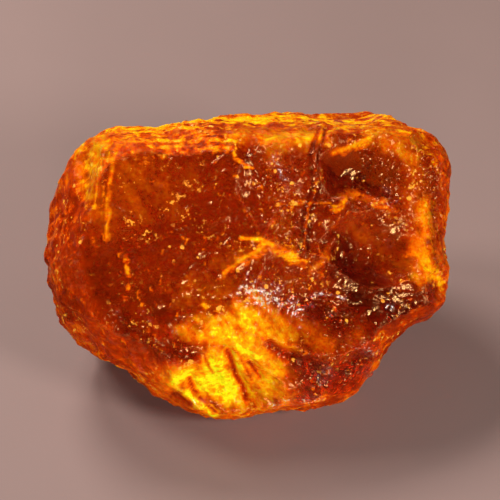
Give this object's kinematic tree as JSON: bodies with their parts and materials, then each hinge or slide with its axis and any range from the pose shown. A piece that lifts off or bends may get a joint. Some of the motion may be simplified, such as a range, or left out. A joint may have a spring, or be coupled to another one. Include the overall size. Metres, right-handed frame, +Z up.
{
  "type": "raw amber piece",
  "caption": "Rough lump of clear red-orange amber with a broad broken face, shell-like flake scars and a chipped crust, lying on a flat underside.",
  "frame": {"origin": "middle of the box's bottom, level with the flat patch of the underside that the lump rests on", "axes": "+Z up; +X along the longest side; -Y is the side that the broad broken face looks to, tilted back so that it faces up at 45 degrees"},
  "size_m": [0.0736, 0.0542, 0.0481],
  "materials": {
    "amber": "clear red-orange resin, glossy on the clean breaks, frosted and chipped on the crust"
  },
  "bodies": {
    "root": {"amber_piece": "amber"}
  },
  "joints": []
}
